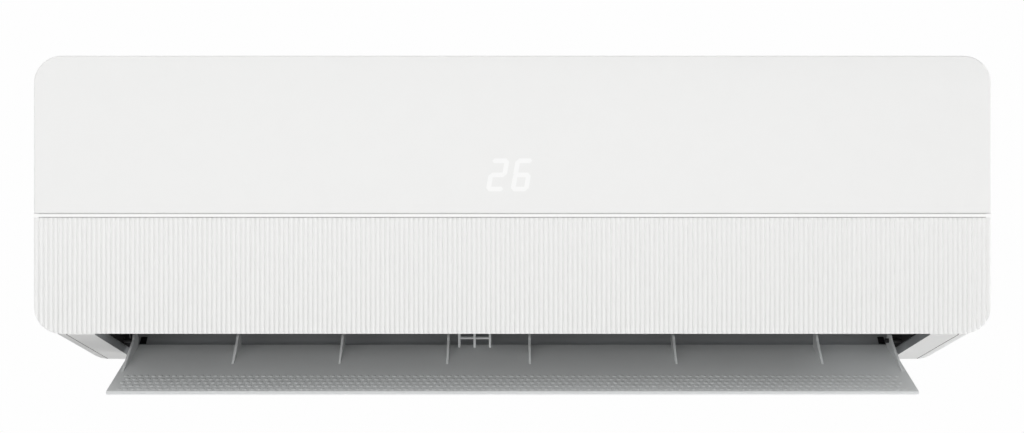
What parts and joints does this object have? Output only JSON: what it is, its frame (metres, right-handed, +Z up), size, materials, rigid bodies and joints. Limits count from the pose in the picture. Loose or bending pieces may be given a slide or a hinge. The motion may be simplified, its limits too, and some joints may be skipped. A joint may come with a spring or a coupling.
{
  "type": "mini split indoor unit",
  "caption": "Wall-hung indoor unit of a split air conditioner: smooth upper panel, fluted lower panel, open air vane, coil and cross-flow fan inside.",
  "frame": {"origin": "on the wall, behind the middle of the unit", "axes": "+X to the right seen from the front, +Y towards the wall, +Z up"},
  "size_m": [0.8, 0.2004, 0.2863],
  "materials": {
    "panel_white": "satin moulded ABS",
    "trim_gloss": "polished strip",
    "casing_white": "fine-grained moulding",
    "vane_grey": "fine-grained moulding with an embossed band",
    "duct_grey": "dark moulding",
    "louvre_grey": "dark moulding",
    "fan_grey": "glass-filled moulding",
    "frame_grey": "plain moulding",
    "net_black": "fine nylon net",
    "galvanised_steel": "galvanised",
    "fin_aluminium": "thin bare fins",
    "copper": "drawn copper tube",
    "brass": "forged and turned",
    "rubber": "moulded",
    "bush_bronze": "sintered bronze",
    "board_green": "coated circuit board",
    "box_grey": "plain moulding",
    "terminal_black": "plain moulding"
  },
  "bodies": {
    "unit": {"front_casing": "casing_white", "intake_grille": "casing_white", "outlet_frame": "casing_white", "rear_chassis": "duct_grey", "wall_plate": "galvanised_steel", "coil_front_slab": "fin_aluminium", "coil_top_slab": "fin_aluminium", "coil_rear_slab": "fin_aluminium", "coil_end_plate_left": "galvanised_steel", "coil_end_plate_right": "galvanised_steel", "return_bend_front": "copper", "return_bend_top": "copper", "return_bend_rear": "copper", "gas_pipe": "copper", "liquid_pipe": "copper", "gas_flare_nut": "brass", "liquid_flare_nut": "brass", "drain_pan": "duct_grey", "louvre_rail": "louvre_grey", "swing_motor": "galvanised_steel", "vane_motor": "galvanised_steel", "fan_motor": "galvanised_steel", "motor_clamp": "frame_grey", "bearing_rubber": "rubber", "fan_bearing": "bush_bronze", "control_box": "box_grey", "control_board": "board_green", "terminal_block": "terminal_black", "control_lid": "galvanised_steel", "display_board": "board_green", "switch_block": "terminal_black"},
    "front_panel": {"smooth_panel": "panel_white", "fluted_panel": "panel_white", "trim_strip": "trim_gloss", "panel_carrier": "casing_white"},
    "air_vane": {"vane": "vane_grey", "vane_clip": "vane_grey", "vane_coupling": "frame_grey"},
    "fan": {"fan_wheel": "fan_grey", "motor_shaft": "galvanised_steel"},
    "filter_left": {"filter_frame_left": "frame_grey", "filter_net_left": "net_black"},
    "filter_right": {"filter_frame_right": "frame_grey", "filter_net_right": "net_black"},
    "button": {"auto_button": "casing_white"},
    "crank": {"swing_crank": "frame_grey"},
    "bar": {"link_bar": "louvre_grey"},
    "swing_01": {"louvre_01": "louvre_grey"},
    "swing_02": {"louvre_02": "louvre_grey"},
    "swing_03": {"louvre_03": "louvre_grey"},
    "swing_04": {"louvre_04": "louvre_grey"},
    "swing_05": {"louvre_05": "louvre_grey"},
    "swing_06": {"louvre_06": "louvre_grey"},
    "swing_07": {"louvre_07": "louvre_grey"},
    "swing_08": {"louvre_08": "louvre_grey"},
    "swing_09": {"louvre_09": "louvre_grey"},
    "swing_10": {"louvre_10": "louvre_grey"}
  },
  "joints": [
    {"name": "panel_hinge", "type": "hinge", "parent": "unit", "child": "front_panel", "pos_m": [0, -0.187, 0.1255], "axis": [-1, 0, 0], "range_deg": [0, 60]},
    {"name": "vane_hinge", "type": "hinge", "parent": "unit", "child": "air_vane", "pos_m": [0, -0.104, -0.11381], "axis": [1, 0, 0], "range_deg": [-37, 20]},
    {"name": "fan_spin", "type": "hinge", "parent": "unit", "child": "fan", "pos_m": [0, -0.088, -0.0335], "axis": [1, 0, 0], "continuous": true},
    {"name": "filter_left_slide", "type": "slide", "parent": "unit", "child": "filter_left", "axis": [0, 0, 1], "range_m": [0, 0.17]},
    {"name": "filter_right_slide", "type": "slide", "parent": "unit", "child": "filter_right", "axis": [0, 0, 1], "range_m": [0, 0.17]},
    {"name": "auto_button_press", "type": "slide", "parent": "unit", "child": "button", "axis": [0, 1, 0], "range_m": [0, 0.001], "stiffness_N_per_m": 600},
    {"name": "swing_drive", "type": "hinge", "parent": "unit", "child": "crank", "pos_m": [0.3, -0.15627, -0.07518], "axis": [0, -0.6494, 0.7605], "range_deg": [-30, 30]},
    {"name": "bar_pivot", "type": "hinge", "parent": "crank", "child": "bar", "pos_m": [0.3, -0.12051, -0.08934], "axis": [0, -0.6494, 0.7605], "range_deg": [-30, 30]},
    {"name": "louvre_01_pivot", "type": "hinge", "parent": "unit", "child": "swing_01", "pos_m": [-0.31107, -0.15627, -0.07518], "axis": [0, -0.6494, 0.7605], "range_deg": [-30, 30]},
    {"name": "louvre_02_pivot", "type": "hinge", "parent": "unit", "child": "swing_02", "pos_m": [-0.25116, -0.15627, -0.07518], "axis": [0, -0.6494, 0.7605], "range_deg": [-30, 30]},
    {"name": "louvre_03_pivot", "type": "hinge", "parent": "unit", "child": "swing_03", "pos_m": [-0.19126, -0.15627, -0.07518], "axis": [0, -0.6494, 0.7605], "range_deg": [-30, 30]},
    {"name": "louvre_04_pivot", "type": "hinge", "parent": "unit", "child": "swing_04", "pos_m": [-0.13136, -0.15627, -0.07518], "axis": [0, -0.6494, 0.7605], "range_deg": [-30, 30]},
    {"name": "louvre_05_pivot", "type": "hinge", "parent": "unit", "child": "swing_05", "pos_m": [-0.07145, -0.15627, -0.07518], "axis": [0, -0.6494, 0.7605], "range_deg": [-30, 30]},
    {"name": "louvre_06_pivot", "type": "hinge", "parent": "unit", "child": "swing_06", "pos_m": [-0.01155, -0.15627, -0.07518], "axis": [0, -0.6494, 0.7605], "range_deg": [-30, 30]},
    {"name": "louvre_07_pivot", "type": "hinge", "parent": "unit", "child": "swing_07", "pos_m": [0.04836, -0.15627, -0.07518], "axis": [0, -0.6494, 0.7605], "range_deg": [-30, 30]},
    {"name": "louvre_08_pivot", "type": "hinge", "parent": "unit", "child": "swing_08", "pos_m": [0.10826, -0.15627, -0.07518], "axis": [0, -0.6494, 0.7605], "range_deg": [-30, 30]},
    {"name": "louvre_09_pivot", "type": "hinge", "parent": "unit", "child": "swing_09", "pos_m": [0.16816, -0.15627, -0.07518], "axis": [0, -0.6494, 0.7605], "range_deg": [-30, 30]},
    {"name": "louvre_10_pivot", "type": "hinge", "parent": "unit", "child": "swing_10", "pos_m": [0.22807, -0.15627, -0.07518], "axis": [0, -0.6494, 0.7605], "range_deg": [-30, 30]}
  ],
  "couplings": [
    {"joint": "bar_pivot", "follows": "swing_drive", "ratio": -1},
    {"joint": "louvre_01_pivot", "follows": "swing_drive", "ratio": 1},
    {"joint": "louvre_02_pivot", "follows": "swing_drive", "ratio": 1},
    {"joint": "louvre_03_pivot", "follows": "swing_drive", "ratio": 1},
    {"joint": "louvre_04_pivot", "follows": "swing_drive", "ratio": 1},
    {"joint": "louvre_05_pivot", "follows": "swing_drive", "ratio": 1},
    {"joint": "louvre_06_pivot", "follows": "swing_drive", "ratio": 1},
    {"joint": "louvre_07_pivot", "follows": "swing_drive", "ratio": 1},
    {"joint": "louvre_08_pivot", "follows": "swing_drive", "ratio": 1},
    {"joint": "louvre_09_pivot", "follows": "swing_drive", "ratio": 1},
    {"joint": "louvre_10_pivot", "follows": "swing_drive", "ratio": 1}
  ]
}
